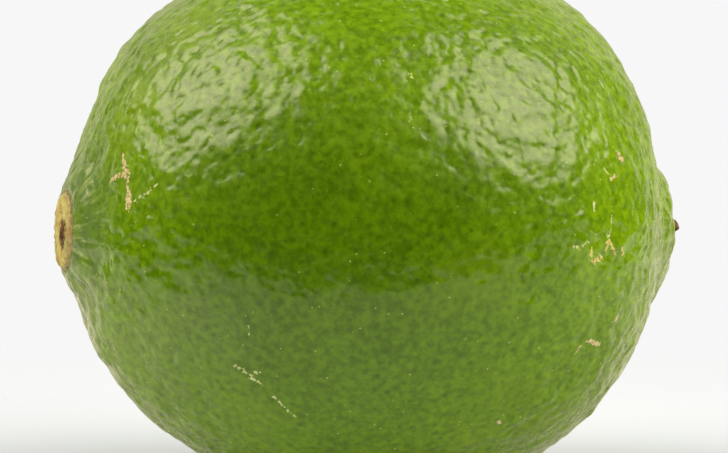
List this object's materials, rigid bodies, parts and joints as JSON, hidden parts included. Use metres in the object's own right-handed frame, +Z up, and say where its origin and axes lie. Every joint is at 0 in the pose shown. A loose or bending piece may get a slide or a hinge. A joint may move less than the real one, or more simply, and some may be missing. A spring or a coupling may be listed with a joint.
{
  "type": "lime",
  "caption": "Whole green lime, a plump oval citrus fruit with a woody stem button at one end, a low nipple with a dry style stub at the other, and a small flat spot to rest on.",
  "frame": {"origin": "On the resting plane, under the middle of the fruit's outer box.", "axes": "+X along the fruit from the stem end to the stylar nipple, +Z up from the flat spot, +Y sideways."},
  "size_m": [0.0634, 0.0572, 0.0547],
  "materials": {
    "peel": "waxy green citrus peel, satin gloss, pebbled by oil glands, with a tan woody stem button and a brown style stub"
  },
  "bodies": {
    "root": {"lime": "peel"}
  },
  "joints": []
}
